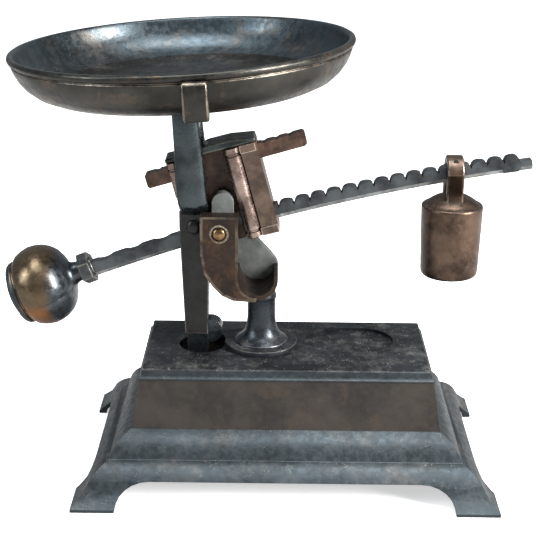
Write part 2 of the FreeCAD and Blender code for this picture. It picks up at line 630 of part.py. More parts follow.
end_plate = box("end_plate_blank", ("frame_right", "frame_right + end_thick"), ("-frame_half", "frame_half"),
                ("frame_low", "frame_high"))
end_plate = cut("end_plate_cut", end_plate, bar_blank, tare_slot)
top_cap = plate("top_cap_body", [
    ("frame_left", "frame_high"), ("frame_right + end_thick", "frame_high"),
    ("frame_right + end_thick", "frame_high + cap_thick"), ("rod_at", "frame_high + cap_thick + cap_bump"),
    ("bump_left", "frame_high + cap_thick + cap_bump"), ("bump_foot", "frame_high + cap_thick"),
    ("frame_left", "frame_high + cap_thick")], "-frame_half", "frame_half")

node("main_bar", main_bar, beam_place)
node("tare_bar", tare_bar, beam_place)
node("beam_frame", beam_frame, beam_place)
node("frame_end_plate", end_plate, beam_place)
node("frame_top_cap", top_cap, beam_place)
for label, (_, piece) in frame_rods.items():
    node(label, piece, beam_place)

# counterweight: a ball on a stud, with a collar between them

ball_core = doc.addObject("Part::Ellipsoid", "ball_core")
drive(ball_core, Radius1="ball_half", Radius2="ball_radius", Radius3="ball_radius")
ball_core.Placement.Rotation = FreeCAD.Rotation(UP, RIGHT)
ball_side = box("ball_side", ("-ball_face", "ball_face"), ("-2 * ball_radius", "2 * ball_radius"),
                ("-2 * ball_radius", "2 * ball_radius"))
ball_blank = common("ball_blank", ball_core, ball_side)
stud_end = "ball_at - bar_left"
stud_sizes = ("stud_radius", f"{stud_end} + ball_face / 2", ("-ball_face / 2", "0", "0"))
button_sizes = ("button_radius", "button_rise + ball_face / 6", ("-ball_face - button_rise", "0", "0"))
stud = rod("stud", *stud_sizes, RIGHT)
button = rod("button", *button_sizes, RIGHT)
collar_blank = doc.addObject("Part::Prism", "collar_blank")
collar_blank.Polygon = 6
collar_blank.Placement.Rotation = FreeCAD.Rotation(UP, RIGHT)
drive(collar_blank, Circumradius="collar_radius", Height="collar_length")
place(collar_blank, f"{stud_end} - collar_length")
collar_bore = rod("collar_bore", "stud_radius", "ball_at", ("0", "0", "0"), RIGHT)
ball_place = beam_place.multiply(bow_place("-ball_at", "ball_drop"))
node("counterweight_ball", cut("ball_cut", ball_blank, stud, button), ball_place)
node("counterweight_collar", cut("collar_cut", collar_blank, collar_bore), ball_place)
stud_piece = carry(rod("stud_piece", *stud_sizes, RIGHT), bow_place("-ball_at", "ball_drop"))
node("counterweight_stud", cut("stud_cut", stud_piece, bar_blank), beam_place)
node("counterweight_button", rod("button_piece", *button_sizes, RIGHT), ball_place)

# ---- stem --------------------------------------------------------------------------

load_pin_x = "fulcrum_x - load_arm"
load_pin_z = "fulcrum_z + load_rise"
peg_x = f"{load_pin_x} + peg_shift"
stem_place = FreeCAD.Placement(FreeCAD.Vector(size(f"{load_pin_x} - stem_shift"), 0, size("knee_z")),
                               FreeCAD.Rotation(BACK, -size("stem_lean")))
fork_outline = [
    (f"{load_pin_x} - plate_left", "knee_z + knee_rise / 2"), (f"{load_pin_x} - plate_left", load_pin_z),
    (f"{peg_x} - foot_left", "plate_foot"), (f"{peg_x} + foot_right", "plate_foot"),
    (f"{load_pin_x} + plate_right", load_pin_z), (f"{load_pin_x} + plate_right", "knee_z + knee_rise / 2")]
load_bore = rod("load_bore", "load_radius", "base_length",
                (load_pin_x, "-base_length / 2", load_pin_z), BACK)


def leg(label, near, far, out_near, out_far):
    """One side of the fork: a flat plate, a shoulder and a leaning upper leg."""
    flat = plate(label + "_flat", fork_outline, near, far)
    shoulder = box(label + "_shoulder", ("-shoulder_half", "shoulder_half"),
                   (min(near, out_near, key=size), max(far, out_far, key=size)), ("0", "knee_rise"))
    upper = box(label + "_upper", ("-leg_half", "leg_half"), (out_near, out_far), ("0", "stem_top"))
    lean = fuse(label + "_lean", shoulder, upper)
    lean.Placement = stem_place
    blank = fuse(label + "_blank", flat, lean)
    node(label, cut(label + "_cut", blank, load_bore))


leg("stem_front_leg", "-fork_gap - fork_thick", "-fork_gap", "-leg_gap - leg_thick", "-leg_gap")
leg("stem_rear_leg", "fork_gap", "fork_gap + fork_thick", "leg_gap", "leg_gap + leg_thick")

head_blank = box("head_blank", ("-leg_half", "leg_half"), ("-leg_gap", "leg_gap"),
                 ("crotch", "stem_top"))
head_bore = rod("head_bore", "pan_rivet", "rivet_length",
                ("0", "0", "stem_top + pan_wall - rivet_length"))
node("stem_head", cut("head_cut", head_blank, head_bore), stem_place)

foot_web = plate("foot_web", [
    (f"{peg_x} - foot_left", "plate_foot"), (f"{peg_x} + foot_right", "plate_foot"),
    (f"{peg_x} + foot_right", "web_top"), (f"{peg_x} - foot_left", "web_top")], "-fork_gap", "fork_gap")
peg = box("peg", (f"{peg_x} - peg_half", f"{peg_x} + peg_half"), ("-peg_depth / 2", "peg_depth / 2"),
          ("peg_end", "plate_foot"))
lug = rod("lug", "lug_radius", "2 * fork_gap",
          (f"{peg_x} + lug_at", "-fork_gap", f"{plate_top} + lug_gap + lug_radius"), BACK)
keeper_at = (peg_x, "-keeper_length / 2",
             "deck_height - top_wall - keeper_gap - stem_lift - keeper_radius")
keeper = rod("keeper", "keeper_radius", "keeper_length", keeper_at, BACK)
keeper_bore = rod("keeper_bore", "keeper_radius", "keeper_length", keeper_at, BACK)
foot_blank = fuse("foot_blank", foot_web, peg, lug)
node("stem_foot", cut("foot_cut", foot_blank, keeper_bore))
node("keeper_pin", keeper)

load_core = rod("load_core", "load_radius", "2 * (fork_gap + fork_thick)",
                (load_pin_x, "-fork_gap - fork_thick", load_pin_z), BACK)
heads = []
for side, out in (("-", -BACK), ("", BACK)):
    head = cone("load_head_cone", "load_head", "load_flat", "load_head_rise",
                (load_pin_x, f"{side}(fork_gap + fork_thick)", load_pin_z))
    head.Placement.Rotation = FreeCAD.Rotation(UP, out)
    heads.append(head)
node("load_pin", fuse("load", load_core, *heads))

# ---- pan ---------------------------------------------------------------------------

pan_foot = "pan_radius - pan_flare"
pan_body = turned("pan_body", [
    ("0", "0"), (pan_foot, "0"), ("pan_radius", "pan_height"), ("pan_radius - pan_wall", "pan_height"),
    (f"{pan_foot} - pan_wall", "pan_wall"), ("0", "pan_wall")])
round_edges(pan_body, "pan_round", "0", pan_foot)
round_edges(pan_body, "pan_round - pan_wall", "pan_wall", f"{pan_foot} - pan_wall")
bead = doc.addObject("Part::Torus", "bead")
drive(bead, Radius1="pan_radius - pan_wall / 2", Radius2="rim_radius")
place(bead, z="pan_height - rim_radius / 2")
spout = box("spout", ("spout_shift - spout_half", "spout_shift + spout_half"),
            ("-pan_radius - spout_reach", "0"), ("spout_foot", "pan_height - 2 * rim_radius"))
spout_clear = box("spout_clear", ("-pan_radius", "pan_radius"),
                  (f"pan_round + pan_wall - ({pan_foot})", "pan_radius"), ("0", "pan_height"))
pan_blank = fuse("pan_blank", pan_body, bead, cut("spout_cut", spout, spout_clear))
pan_bore = rod("pan_bore", "pan_rivet", "pan_height", ("0", "0", "-spare"))
pan_seat = FreeCAD.Placement(UP * size("stem_top"), FreeCAD.Rotation())
pan_place = stem_place.multiply(pan_seat)
node("pan", cut("pan_cut", pan_blank, pan_bore), pan_place)
node("pan_rivet", rod("rivet", "pan_rivet", "rivet_length", ("0", "0", "pan_wall - rivet_length")), pan_place)

# ---- poise -------------------------------------------------------------------------
# The poise hangs plumb from a rider pin that rests on the long bar.

bow_drop = size("bow_radius") - math.sqrt(size("bow_radius") ** 2 - size("poise_at - bow_at") ** 2)
rider_level = size("bar_height / 2 + rider_gap + rider_radius") - bow_drop
rider_at = beam_place.multVec(FreeCAD.Vector(size("poise_at"), 0, rider_level))
poise_place = FreeCAD.Placement(rider_at, FreeCAD.Rotation())

rider = rod("rider", "rider_radius", "2 * rider_half", ("0", "-rider_half", "0"), BACK)
opening_top = "(rider_nose - rider_radius)"
loop_low = f"{opening_top} - loop_opening"
loop_arch = rod("loop_arch", "loop_half", "loop_width",
                ("-loop_width / 2", "0", "loop_crown - loop_half"), RIGHT)
loop_sides = box("loop_sides", ("-loop_width / 2", "loop_width / 2"), ("-loop_half", "loop_half"),
                 (f"{loop_low} - loop_tail", "loop_crown - loop_half"))
loop_void = box("loop_void", ("-loop_width", "loop_width"),
                ("loop_band - loop_half", "loop_half - loop_band"), (loop_low, opening_top))
rider_bore = rod("rider_bore", "rider_radius + running", "2 * loop_half", ("0", "-loop_half", "0"), BACK)
loop_blank = fuse("loop_blank", loop_arch, loop_sides)
node("poise_rider", rider, poise_place)
node("poise_loop", cut("loop_cut", loop_blank, loop_void, rider_bore), poise_place)

weight_body = turned("weight_body", [
    ("0", "0"), ("poise_foot_radius", "0"), ("poise_top_radius", "poise_height"),
    ("boss_radius", "poise_height + shoulder_rise"),
    ("boss_radius", "poise_height + shoulder_rise + boss_rise"),
    ("0", "poise_height + shoulder_rise + boss_rise")])
round_edges(weight_body, "poise_round", "0", "poise_foot_radius")
place(weight_body, z="-poise_drop - poise_height")
node("poise_weight", cut("weight_cut", weight_body, loop_sides), poise_place)

# ---- check and write ---------------------------------------------------------------

doc.removeObject("Gauge")
doc.recompute()
for obj in doc.Objects:
    if "Invalid" in obj.State or "Error" in obj.State:
        raise RuntimeError(f"{obj.Label} did not build: {obj.State}")
os.makedirs("parts", exist_ok=True)
for obj in nodes:
    shape = obj.Shape
    if shape.isNull() or not shape.isValid() or not shape.Solids:
        raise RuntimeError(f"{obj.Label} has no valid solid")
    shape.exportStep(f"parts/{obj.Label}.step")
    print(obj.Label, len(shape.Solids), round(shape.Volume, 2))
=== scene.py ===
import math

import bmesh
import bpy
from mathutils import Matrix, Vector


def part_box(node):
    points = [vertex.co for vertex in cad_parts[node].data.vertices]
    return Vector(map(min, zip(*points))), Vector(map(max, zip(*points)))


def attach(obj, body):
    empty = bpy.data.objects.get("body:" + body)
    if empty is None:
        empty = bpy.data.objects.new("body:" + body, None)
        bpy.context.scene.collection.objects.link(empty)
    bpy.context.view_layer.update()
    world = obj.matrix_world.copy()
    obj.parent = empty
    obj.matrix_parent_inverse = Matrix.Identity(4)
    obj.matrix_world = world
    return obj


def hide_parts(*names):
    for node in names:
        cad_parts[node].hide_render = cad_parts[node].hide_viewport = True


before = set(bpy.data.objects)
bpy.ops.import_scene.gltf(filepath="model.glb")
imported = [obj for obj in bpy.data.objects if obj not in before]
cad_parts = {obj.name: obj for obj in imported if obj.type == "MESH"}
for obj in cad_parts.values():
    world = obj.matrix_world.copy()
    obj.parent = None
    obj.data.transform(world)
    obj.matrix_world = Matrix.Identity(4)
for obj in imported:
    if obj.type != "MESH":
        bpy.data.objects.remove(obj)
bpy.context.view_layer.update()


# ---- base casting ------------------------------------------------------------------
# A hollow stepped casting on four flared feet, dark slate patina over zinc, the broad
# front and side panels browner. Cast in one piece, its edges rubbed by handling.

mm = 0.001


def span(node):
    """A CAD node's lowest and highest corners, in millimetres."""
    low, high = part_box(node)
    return low / mm, high / mm


def middle(node):
    """The middle of a CAD node's box, in millimetres."""
    low, high = span(node)
    return (low + high) / 2


def pushed(bm, faces, way=(0, 0, 0), inner=False):
    """Pushes faces out and gives the new end faces; inner ones aren't left behind inside."""
    made = bmesh.ops.extrude_face_region(bm, geom=faces)["geom"]
    if inner:
        bmesh.ops.delete(bm, geom=faces, context="FACES_ONLY")
    far = [item for item in made if isinstance(item, bmesh.types.BMVert)]
    bmesh.ops.translate(bm, verts=far, vec=way)
    return [item for item in made if isinstance(item, bmesh.types.BMFace)]


def stepped_block(half_x, half_y, tiers, foot=0.0):
    """A block that rises in tiers: each is an inset from the foot and a height."""
    bm = bmesh.new()
    bmesh.ops.create_cube(bm, size=1)

    def put(corner, inset, height):
        """Sets one corner on its tier."""
        corner.co = (math.copysign(half_x - inset, corner.co.x),
                     math.copysign(half_y - inset, corner.co.y), height)

    top = [face for face in bm.faces if face.normal.z > 0.5]
    for corner in bm.verts:
        put(corner, tiers[0][0], foot if corner.co.z < 0 else tiers[0][1])
    for inset, height in tiers[1:]:
        top = pushed(bm, top, inner=True)
        for corner in top[0].verts:
            put(corner, inset, height)
    bmesh.ops.recalc_face_normals(bm, faces=bm.faces)
    return bm


def prism(points, depth, facing="Y"):
    """A flat outline in width and height, given a thickness centred on the middle plane."""
    bm = bmesh.new()
    outline = bm.faces.new([bm.verts.new((x, -depth / 2, z)) for x, z in points])
    pushed(bm, [outline], (0, depth, 0))
    if facing == "X":
        bmesh.ops.rotate(bm, verts=bm.verts, matrix=Matrix.Rotation(math.pi / 2, 3, "Z"))
    bmesh.ops.recalc_face_normals(bm, faces=bm.faces)
    return bm


def disc_block(radius, low, high, segments, centre=(0, 0, 0), along="Z", slot=0.0):
    """A round block along Z or Y; a slot's length parts its round ends along X."""
    bm = bmesh.new()
    bmesh.ops.create_cone(bm, cap_ends=True, segments=segments, radius1=radius, radius2=radius,
                          depth=high - low)
    for corner in bm.verts:
        if abs(corner.co.x) > 1e-6:
            corner.co.x += math.copysign(slot / 2, corner.co.x)
    bmesh.ops.translate(bm, verts=bm.verts, vec=(0, 0, (low + high) / 2))
    if along == "Y":
        bmesh.ops.rotate(bm, verts=bm.verts, matrix=Matrix.Rotation(-math.pi / 2, 3, "X"))
    bmesh.ops.translate(bm, verts=bm.verts, vec=centre)
    return bm


def carve(bm, *tools, operation="DIFFERENCE"):
    """Cuts closed blocks out of a mesh, or joins them to it."""
    for tool in tools:
        pair = []
        for source in (bm, tool):
            mesh = bpy.data.meshes.new("blank")
            source.to_mesh(mesh)
            source.free()
            pair.append(bpy.data.objects.new("blank", mesh))
            bpy.context.scene.collection.objects.link(pair[-1])
        cut = pair[0].modifiers.new("carve", "BOOLEAN")
        cut.operation = operation
        cut.solver = "EXACT"
        cut.object = pair[1]
        bpy.context.view_layer.update()
        done = pair[0].evaluated_get(bpy.context.evaluated_depsgraph_get())
        bm = bmesh.new()
        bm.from_mesh(done.to_mesh())
        for blank in pair:
            bpy.data.meshes.remove(blank.data)
        bmesh.ops.remove_doubles(bm, verts=bm.verts, dist=0.001)
    return bm


def soften(bm, width, segments=2, angle=28):
    """Rounds the sharp edges, and marks the rounded strips, which are where the finish wears."""
    strips = bm.faces.layers.float.get("rub") or bm.faces.layers.float.new("rub")
    sharp = [edge for edge in bm.edges
             if edge.is_manifold and edge.calc_face_angle(0) > math.radians(angle)]
    made = bmesh.ops.bevel(bm, geom=sharp, offset=width, offset_type="OFFSET", segments=segments,
                           profile=0.5, affect="EDGES", clamp_overlap=True, material=-1)
    for face in made["faces"]:
        face[strips] = 1.0
    return bm


def make_group(name, inputs, outputs):
    """An empty shader group with its named sockets."""
    group = bpy.data.node_groups.new(name, "ShaderNodeTree")
    for socket, kind, value in inputs:
        made = group.interface.new_socket(socket, in_out="INPUT", socket_type=kind)
        if value is not None:
            made.default_value = value
    for socket in outputs:
        group.interface.new_socket(socket, in_out="OUTPUT", socket_type="NodeSocketFloat")
    return group


def add(tree, kind, links=(), **settings):
    """A node with its settings, its inputs linked or given values."""
    made = tree.nodes.new(kind)
    for name, value in settings.items():
        setattr(made, name, value)
    for socket, value in dict(links).items():
        if isinstance(value, bpy.types.NodeSocket):
            tree.links.new(value, made.inputs[socket])
        else:
            made.inputs[socket].default_value = value
    return made


def math_node(tree, operation, a, b, clamp=False):
    """One sum, product or comparison."""
    return add(tree, "ShaderNodeMath", {0: a, 1: b}, operation=operation, use_clamp=clamp).outputs[0]


def ranged(tree, value, low, high, to_low=0.0, to_high=1.0):
    """A value taken smoothly from one range to another."""
    return add(tree, "ShaderNodeMapRange", {"Value": value, "From Min": low, "From Max": high,
                                            "To Min": to_low, "To Max": to_high},
               interpolation_type="SMOOTHSTEP").outputs[0]


def noise(tree, where, scale, detail, roughness=0.5, distortion=0.0):
    """Cloudy noise, about 0.5 in the middle."""
    return add(tree, "ShaderNodeTexNoise",
               {"Vector": where, "Scale": scale, "Detail": detail, "Roughness": roughness,
                "Distortion": distortion}).outputs[0]


def times(tree, a, b, clamp=False):
    """Two values multiplied."""
    return math_node(tree, "MULTIPLY", a, b, clamp)


# Cloudy patches, fine grain and tiny pits of a patinated casting.
mottle = make_group("cast_mottle",
                    [("Vector", "NodeSocketVector", None), ("Cloud", "NodeSocketFloat", 90.0),
                     ("Grain", "NodeSocketFloat", 900.0)], ["Cloud", "Patch", "Grain", "Height"])
end = add(mottle, "NodeGroupOutput")
given = add(mottle, "NodeGroupInput")
where = given.outputs["Vector"]
cloud = noise(mottle, where, given.outputs["Cloud"], 5.0, 0.62)
patch = noise(mottle, where, times(mottle, given.outputs["Cloud"], 2.7), 6.0, 0.7, 0.6)
grain = noise(mottle, where, given.outputs["Grain"], 4.0, 0.7)
pits = add(mottle, "ShaderNodeTexVoronoi",
           {"Vector": where, "Scale": times(mottle, given.outputs["Grain"], 0.8)})
pit = ranged(mottle, pits.outputs["Distance"], 0.05, 0.35)
mottle.links.new(ranged(mottle, cloud, 0.36, 0.64), end.inputs["Cloud"])
mottle.links.new(ranged(mottle, patch, 0.5, 0.68), end.inputs["Patch"])
mottle.links.new(ranged(mottle, grain, 0.3, 0.7), end.inputs["Grain"])
mottle.links.new(math_node(mottle, "ADD", times(mottle, grain, 0.7), times(mottle, pit, 0.3)),
                 end.inputs["Height"])

# Dust that has settled on what faces up: a thin film, and single specks.
dust = make_group("settled_dust",
                  [("Vector", "NodeSocketVector", None), ("Amount", "NodeSocketFloat", 0.5)], ["Dust"])
end = add(dust, "NodeGroupOutput")
given = add(dust, "NodeGroupInput")
where = given.outputs["Vector"]
facing = add(dust, "ShaderNodeSeparateXYZ", {0: add(dust, "ShaderNodeNewGeometry").outputs["Normal"]})
upward = ranged(dust, facing.outputs["Z"], 0.25, 0.95)
film = ranged(dust, noise(dust, where, 260.0, 6.0, 0.75), 0.42, 0.8)
specks = add(dust, "ShaderNodeTexVoronoi", {"Vector": where, "Scale": 2600.0, "Randomness": 1.0})
speck = ranged(dust, specks.outputs["Distance"], 0.3, 0.08)
keep = ranged(dust, noise(dust, where, 700.0, 2.0), 0.5, 0.62)
both = math_node(dust, "ADD", times(dust, film, 0.5), times(dust, speck, keep))
fallen = times(dust, times(dust, both, upward), given.outputs["Amount"], True)
dust.links.new(fallen, end.inputs["Dust"])

# Wear on the rounded strips, broken up so that it comes and goes along an edge.
edge_rub = make_group("edge_rub",
                      [("Vector", "NodeSocketVector", None), ("Amount", "NodeSocketFloat", 0.6)], ["Rub"])
end = add(edge_rub, "NodeGroupOutput")
given = add(edge_rub, "NodeGroupInput")
strip = add(edge_rub, "ShaderNodeAttribute", attribute_name="rub")
broken = noise(edge_rub, given.outputs["Vector"], 330.0, 5.0, 0.7)
worn = times(edge_rub, strip.outputs["Fac"], ranged(edge_rub, broken, 0.34, 0.62))
edge_rub.links.new(times(edge_rub, worn, given.outputs["Amount"], True), end.inputs["Rub"])
dust_tone = (0.22, 0.21, 0.19, 1)
gloss_play = 0.08
relief_depth = 0.00012


def blend_colour(tree, mask, a, b):
    """Goes from one colour to another by a mask."""
    return add(tree, "ShaderNodeMix", {"Factor": mask, "A": a, "B": b}, data_type="RGBA").outputs["Result"]


def cast_finish(name, deep, tone, warm, rubbed, metallic=0.75, rough=0.42, warm_share=0.5, rub=0.7,
                dusty=0.5, cloud=90.0, relief=0.35):
    """A patinated cast surface: clouded dark and light, mottled, warm where worn, dusty on top."""
    made = bpy.data.materials.new(name)
    made.use_nodes = True
    tree = made.node_tree
    tree.nodes.clear()
    where = add(tree, "ShaderNodeTexCoord").outputs["Object"]
    look, wear, fall = [add(tree, "ShaderNodeGroup", node_tree=group) for group in (mottle, edge_rub, dust)]
    for group, socket, value in ((look, "Cloud", cloud), (wear, "Amount", rub), (fall, "Amount", dusty)):
        tree.links.new(where, group.inputs["Vector"])
        group.inputs[socket].default_value = value
    patch, grain, film = look.outputs["Patch"], look.outputs["Grain"], fall.outputs["Dust"]
    base = blend_colour(tree, look.outputs["Cloud"], (*deep, 1), (*tone, 1))
    base = blend_colour(tree, times(tree, patch, warm_share), base, (*warm, 1))
    base = blend_colour(tree, times(tree, grain, 0.25), base, (*tone, 1))
    base = blend_colour(tree, wear.outputs["Rub"], base, (*rubbed, 1))
    base = blend_colour(tree, film, base, dust_tone)
    gloss = math_node(tree, "ADD", ranged(tree, grain, 0, 1, rough - gloss_play, rough + gloss_play),
                      times(tree, film, 0.4), True)
    shine = times(tree, ranged(tree, film, 0, 0.6, 1, 0.2), metallic)
    bump = add(tree, "ShaderNodeBump",
               {"Height": look.outputs["Height"], "Strength": relief, "Distance": relief_depth})
    shader = add(tree, "ShaderNodeBsdfPrincipled", {"Base Color": base, "Roughness": gloss,
                                                    "Metallic": shine, "Normal": bump.outputs[0]})
    out = add(tree, "ShaderNodeOutputMaterial")
    tree.links.new(shader.outputs[0], out.inputs[0])
    return made


def settle(name, bm, body, slot, finishes, *nodes, turn=35):
    """Makes the piece in metres with its finish, in the place of its CAD nodes."""
    bmesh.ops.remove_doubles(bm, verts=bm.verts, dist=0.0005)
    bmesh.ops.recalc_face_normals(bm, faces=bm.faces)
    bmesh.ops.scale(bm, vec=(mm, mm, mm), verts=bm.verts)
    mesh = bpy.data.meshes.new(name)
    bm.to_mesh(mesh)
    bm.free()
    for face in mesh.polygons:
        face.use_smooth = True
    mesh.set_sharp_from_angle(angle=math.radians(turn))
    piece = bpy.data.objects.new(name, mesh)
    bpy.context.scene.collection.objects.link(piece)
    for finish in finishes:
        mesh.materials.append(finish)
    level = piece.modifiers.new("even_faces", "WEIGHTED_NORMAL")
    level.keep_sharp = True
    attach(piece, body)
    if nodes:
        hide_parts(*nodes)
    return piece


slate = cast_finish("slate_patina", (0.024, 0.030, 0.034), (0.036, 0.046, 0.052), (0.065, 0.050, 0.038),
                    (0.20, 0.16, 0.12), warm_share=0.25, rough=0.44)
umber = cast_finish("umber_panel", (0.028, 0.025, 0.023), (0.050, 0.043, 0.038), (0.07, 0.05, 0.036),
                    (0.17, 0.13, 0.10), warm_share=0.5, rough=0.46)
sooty = cast_finish("sooty_deck", (0.010, 0.011, 0.013), (0.030, 0.034, 0.038), (0.04, 0.034, 0.03),
                    (0.13, 0.12, 0.11), warm_share=0.3, rough=0.48, dusty=0.85)

half_x, half_y, deck = span("base_casting")[1]
toe = 7.0
arch_round, arch_high = 5.4, 4.08
panel_foot, panel_head = 10.36, 18.3
column_x = -4.2
hole_x, hole_radius = -14.04, 3.86
outer_tiers = [(0, 0.5), (0.55, 1.0), (1.15, 1.6), (1.8, 2.3), (2.35, 3.2), (2.8, arch_high), (3.5, 4.9),
               (4.4, 5.7), (5.4, 6.4), (5.55, 6.46), (5.75, 6.6), (6.1, 7.5), (6.8, 8.6), (7.7, 9.5),
               (8.7, 10.1), (8.85, 10.24), (9.1, panel_foot), (10.36, panel_head), (10.2, 18.42),
               (10.22, 18.62), (10.46, 18.8), (10.62, 19.1), (10.7, 19.5), (10.78, 19.8), (10.95, 20.04),
               (11.25, deck)]
inner_tiers = [(1.3, 0.5), (4.1, arch_high), (6.85, 6.6), (10.22, 10.28), (11.66, 18.56)]
shell = carve(stepped_block(half_x, half_y, outer_tiers),
              stepped_block(half_x, half_y, inner_tiers, foot=-1.0))


def arch(half):
    """The round-shouldered gap between two feet."""
    points = [(-half, -1.0), (half, -1.0)]
    for side in (1, -1):
        turns = [math.radians(step) for step in range(0, 91, 15)]
        shoulder = [(side * (half - arch_round * (1 - math.cos(turn))), arch_high * math.sin(turn))
                    for turn in turns]
        points += shoulder if side == 1 else shoulder[::-1]
    return points


shell = carve(shell, prism(arch(half_x - toe), 3 * half_y), prism(arch(half_y - toe), 3 * half_x, "X"))
shell = carve(shell, disc_block(5.3, deck - 0.5, deck + 1, 24, (10.6, 2.3, 0), slot=4.4),
              disc_block(hole_radius, 10, deck + 1, 40, (hole_x, 0, 0)),
              disc_block(1.6, 10, deck + 1, 24, (column_x, 0, 0)))
soften(shell, 0.16, angle=20)
for face in shell.faces:
    centre = face.calc_center_median()
    in_dish = deck - 2 < centre.z < deck and abs(centre.x) < 20 and abs(centre.y) < 10
    if panel_foot - 0.06 < centre.z < panel_head + 0.05 and abs(face.normal.z) < 0.4:
        face.material_index = 1
    if centre.z > deck - 0.9 and face.normal.z > 0.3 or in_dish:
        face.material_index = 2
settle("base_shell", shell, "base", "dark_patina", [slate, umber, sooty], "base_casting")

# ---- column ------------------------------------------------------------------------
# A turned column with a spread foot on a round plate, its tail peened over a washer
# inside the base. Near-black gloss with a dusty foot.


def turned(profile, steps=96):
    """A piece turned about Z, from its radii and heights."""
    bm = bmesh.new()
    points = [bm.verts.new((radius, 0, height)) for radius, height in profile]
    runs = [bm.edges.new(pair) for pair in zip(points, points[1:])]
    bmesh.ops.spin(bm, geom=points + runs, cent=(0, 0, 0), axis=(0, 0, 1), dvec=(0, 0, 0), angle=2 * math.pi,
                   steps=steps, use_merge=True, use_duplicate=False)
    bmesh.ops.remove_doubles(bm, verts=bm.verts, dist=0.001)
    bmesh.ops.recalc_face_normals(bm, faces=bm.faces)
    return bm


def moved(bm, place):
    """The mesh carried to its place."""
    bmesh.ops.transform(bm, matrix=place, verts=bm.verts)
    return bm


def copy_of(*names):
    """The shape of CAD nodes, in millimetres, with its flat faces whole."""
    bm = bmesh.new()
    for name in names:
        bm.from_mesh(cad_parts[name].data)
    bmesh.ops.scale(bm, vec=(1 / mm, 1 / mm, 1 / mm), verts=bm.verts)
    bmesh.ops.remove_doubles(bm, verts=bm.verts, dist=0.002)
    bmesh.ops.dissolve_limit(bm, angle_limit=math.radians(1.5), verts=bm.verts, edges=bm.edges)
    return bm


black = cast_finish("black_gloss", (0.008, 0.009, 0.011), (0.030, 0.037, 0.045), (0.04, 0.034, 0.03),
                    (0.15, 0.15, 0.15), warm_share=0.2, rough=0.32, dusty=0.7)
tail = span("column")[0].z
plate_top = span("column_plate")[1].z
scoop_under = span("yoke_front")[0].z
shaft = 2.33
flare = [(4.5, -0.2), (4.4, 0.25), (3.7, 0.75), (3.1, 1.3), (2.7, 2.0), (2.45, 3.0), (shaft, 4.4)]
neck = [(shaft, -1.6), (2.5, -1.3), (2.5, -0.8), (shaft, -0.5), (shaft, 0.45), (0, 0.45)]
column = turned([(0, tail), (1.6, tail), (1.6, plate_top - 0.2)]
                + [(radius, plate_top + rise) for radius, rise in flare]
                + [(radius, scoop_under + rise) for radius, rise in neck], steps=64)
soften(column, 0.08, angle=40)
settle("column_turned", moved(column, Matrix.Translation((column_x, 0, 0))), "base", "dark_patina",
       [black], "column")

foot_plate = soften(copy_of("column_plate"), 0.22)
settle("column_foot_plate", foot_plate, "base", "dark_patina", [sooty], "column_plate")

# ---- yoke --------------------------------------------------------------------------
# Two ears that hold the beam's pin, joined by a scoop on top of the column, with a bare
# grey tongue behind the front ear. The front ear is brown with a raised rim.

chestnut = cast_finish("chestnut_bronze", (0.009, 0.005, 0.004), (0.028, 0.016, 0.010), (0.060, 0.031, 0.015),
                       (0.24, 0.19, 0.14), warm_share=0.55, rough=0.46, rub=0.85, cloud=210.0, metallic=0.6)
front_ear = copy_of("yoke_front")
soften(front_ear, 0.2)
face_y = span("yoke_front")[0].y
ear = [face for face in front_ear.faces
       if face.normal.y < -0.98 and face.calc_center_median().y < face_y + 0.05]
rim = bmesh.ops.inset_region(front_ear, faces=ear, thickness=0.42, depth=0.0, use_even_offset=True)
strips = front_ear.faces.layers.float.get("rub")
for face in rim["faces"]:
    face[strips] = 0.4
bmesh.ops.translate(front_ear, verts=list({v for face in ear for v in face.verts}), vec=(0, 0.18, 0))
settle("yoke_front_ear", front_ear, "base", "dark_patina", [chestnut], "yoke_front")

pale = cast_finish("bare_grey", (0.065, 0.072, 0.068), (0.155, 0.165, 0.160), (0.10, 0.09, 0.075),
                   (0.26, 0.26, 0.24), warm_share=0.3, rough=0.55, metallic=0.45, cloud=160.0)
rear_ear = copy_of("yoke_rear")
scoop_head = 40.0
corners = [edge for edge in rear_ear.edges if edge.is_manifold and edge.calc_face_angle(0) > math.radians(12)
           and abs((edge.verts[0].co - edge.verts[1].co).normalized().y) > 0.99 and edge.calc_length() > 1.5
           and edge.verts[0].co.z < scoop_head]
bmesh.ops.bevel(rear_ear, geom=corners, offset=1.1, offset_type="OFFSET", segments=5, profile=0.5,
                affect="EDGES", clamp_overlap=True, material=-1)
settle("yoke_rear_ear", soften(rear_ear, 0.25), "base", "bare_grey", [pale], "yoke_rear")
tongue = soften(copy_of("guide_tongue"), 0.3, segments=3)
settle("beam_guide", tongue, "base", "bare_grey", [pale], "guide_tongue")


def pin_place(node):
    """The place of a cross pin that is turned about Z: its front end, its axis running back."""
    at = middle(node)
    return Matrix.Translation((at.x, span(node)[0].y, at.z)) @ Matrix.Rotation(-math.pi / 2, 4, "X")


